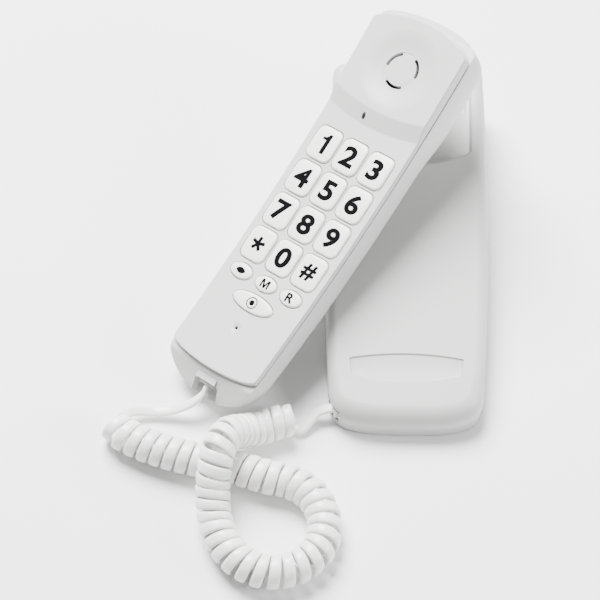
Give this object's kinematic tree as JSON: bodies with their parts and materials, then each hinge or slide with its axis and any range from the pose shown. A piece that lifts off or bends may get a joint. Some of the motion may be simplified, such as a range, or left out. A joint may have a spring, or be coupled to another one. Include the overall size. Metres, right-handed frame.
{
  "type": "slimline wall phone",
  "caption": "Slimline wall phone laid on its back: curved keypad handset leaning across a wedge-shaped cradle, with a coiled cord.",
  "frame": {"origin": "middle of the cradle's wall pad, on the pad's flat back face", "axes": "+Z out of the cradle's front, +Y towards the earpiece end of the cradle, +X to the right seen from the front"},
  "size_m": [0.1794, 0.2658, 0.0939],
  "materials": {
    "shell_plastic": "satin moulded ABS, warm white",
    "key_plastic": "satin keycaps, warm white",
    "back_plastic": "fine-textured moulding",
    "dark_plastic": "fine-textured moulding",
    "jack_plastic": "fine-textured moulding",
    "circuit_board": "solder resist",
    "cord_vinyl": "satin vinyl",
    "clear_plastic": "polished",
    "led_red": "polished",
    "rubber": "moulded",
    "steel": "zinc plated",
    "cast_weight": "as cast",
    "brass_disc": "rolled"
  },
  "bodies": {
    "base": {"base_cover": "shell_plastic", "base_plate": "back_plastic", "base_board": "circuit_board", "base_cord_jack": "dark_plastic", "line_jack": "dark_plastic", "ringer": "brass_disc", "ringer_switch": "dark_plastic", "hook_switch": "dark_plastic", "hook_spring": "steel", "ballast_weight": "cast_weight", "rubber_feet": "rubber", "base_screws": "steel", "base_plug": "clear_plastic", "cord_lead": "cord_vinyl", "cord_coil": "cord_vinyl", "cord_tail": "cord_vinyl"},
    "handset": {"handset_front": "shell_plastic", "handset_back": "shell_plastic", "ear_capsule": "dark_plastic", "ear_seal": "rubber", "microphone": "steel", "microphone_boot": "rubber", "led": "led_red", "led_lens": "led_red", "keypad_mat": "rubber", "key_board": "circuit_board", "handset_jack": "jack_plastic", "handset_screws": "steel", "handset_plug": "clear_plastic"},
    "hook_plunger": {"hook_plunger": "shell_plastic"},
    "ringer_knob": {"ringer_switch_knob": "dark_plastic"},
    "key_1": {"key_1": "key_plastic"},
    "key_2": {"key_2": "key_plastic"},
    "key_3": {"key_3": "key_plastic"},
    "key_4": {"key_4": "key_plastic"},
    "key_5": {"key_5": "key_plastic"},
    "key_6": {"key_6": "key_plastic"},
    "key_7": {"key_7": "key_plastic"},
    "key_8": {"key_8": "key_plastic"},
    "key_9": {"key_9": "key_plastic"},
    "key_star": {"key_star": "key_plastic"},
    "key_0": {"key_0": "key_plastic"},
    "key_hash": {"key_hash": "key_plastic"},
    "key_store": {"key_store": "key_plastic"},
    "key_memory": {"key_memory": "key_plastic"},
    "key_recall": {"key_recall": "key_plastic"},
    "key_redial": {"key_redial": "key_plastic"}
  },
  "joints": [
    {"name": "handset_lift", "type": "slide", "parent": "base", "child": "handset", "axis": [0, 0, 1], "range_m": [0, 0.15]},
    {"name": "hook_plunger_press", "type": "slide", "parent": "base", "child": "hook_plunger", "axis": [0, 0, -1], "range_m": [0, 0.004], "stiffness_N_per_m": 150, "deforming": ["hook_spring"]},
    {"name": "ringer_knob_slide", "type": "slide", "parent": "base", "child": "ringer_knob", "axis": [0, 1, 0], "range_m": [0, 0.0038]},
    {"name": "key_1_press", "type": "slide", "parent": "handset", "child": "key_1", "axis": [0.3857, 0.1422, -0.9116], "range_m": [0, 0.001], "stiffness_N_per_m": 300},
    {"name": "key_2_press", "type": "slide", "parent": "handset", "child": "key_2", "axis": [0.3857, 0.1422, -0.9116], "range_m": [0, 0.001], "stiffness_N_per_m": 300},
    {"name": "key_3_press", "type": "slide", "parent": "handset", "child": "key_3", "axis": [0.3857, 0.1422, -0.9116], "range_m": [0, 0.001], "stiffness_N_per_m": 300},
    {"name": "key_4_press", "type": "slide", "parent": "handset", "child": "key_4", "axis": [0.3857, 0.1422, -0.9116], "range_m": [0, 0.001], "stiffness_N_per_m": 300},
    {"name": "key_5_press", "type": "slide", "parent": "handset", "child": "key_5", "axis": [0.3857, 0.1422, -0.9116], "range_m": [0, 0.001], "stiffness_N_per_m": 300},
    {"name": "key_6_press", "type": "slide", "parent": "handset", "child": "key_6", "axis": [0.3857, 0.1422, -0.9116], "range_m": [0, 0.001], "stiffness_N_per_m": 300},
    {"name": "key_7_press", "type": "slide", "parent": "handset", "child": "key_7", "axis": [0.3857, 0.1422, -0.9116], "range_m": [0, 0.001], "stiffness_N_per_m": 300},
    {"name": "key_8_press", "type": "slide", "parent": "handset", "child": "key_8", "axis": [0.3857, 0.1422, -0.9116], "range_m": [0, 0.001], "stiffness_N_per_m": 300},
    {"name": "key_9_press", "type": "slide", "parent": "handset", "child": "key_9", "axis": [0.3857, 0.1422, -0.9116], "range_m": [0, 0.001], "stiffness_N_per_m": 300},
    {"name": "key_star_press", "type": "slide", "parent": "handset", "child": "key_star", "axis": [0.3857, 0.1422, -0.9116], "range_m": [0, 0.001], "stiffness_N_per_m": 300},
    {"name": "key_0_press", "type": "slide", "parent": "handset", "child": "key_0", "axis": [0.3857, 0.1422, -0.9116], "range_m": [0, 0.001], "stiffness_N_per_m": 300},
    {"name": "key_hash_press", "type": "slide", "parent": "handset", "child": "key_hash", "axis": [0.3857, 0.1422, -0.9116], "range_m": [0, 0.001], "stiffness_N_per_m": 300},
    {"name": "key_store_press", "type": "slide", "parent": "handset", "child": "key_store", "axis": [0.3857, 0.1422, -0.9116], "range_m": [0, 0.001], "stiffness_N_per_m": 300},
    {"name": "key_memory_press", "type": "slide", "parent": "handset", "child": "key_memory", "axis": [0.3857, 0.1422, -0.9116], "range_m": [0, 0.001], "stiffness_N_per_m": 300},
    {"name": "key_recall_press", "type": "slide", "parent": "handset", "child": "key_recall", "axis": [0.3857, 0.1422, -0.9116], "range_m": [0, 0.001], "stiffness_N_per_m": 300},
    {"name": "key_redial_press", "type": "slide", "parent": "handset", "child": "key_redial", "axis": [0.3857, 0.1422, -0.9116], "range_m": [0, 0.001], "stiffness_N_per_m": 300}
  ]
}
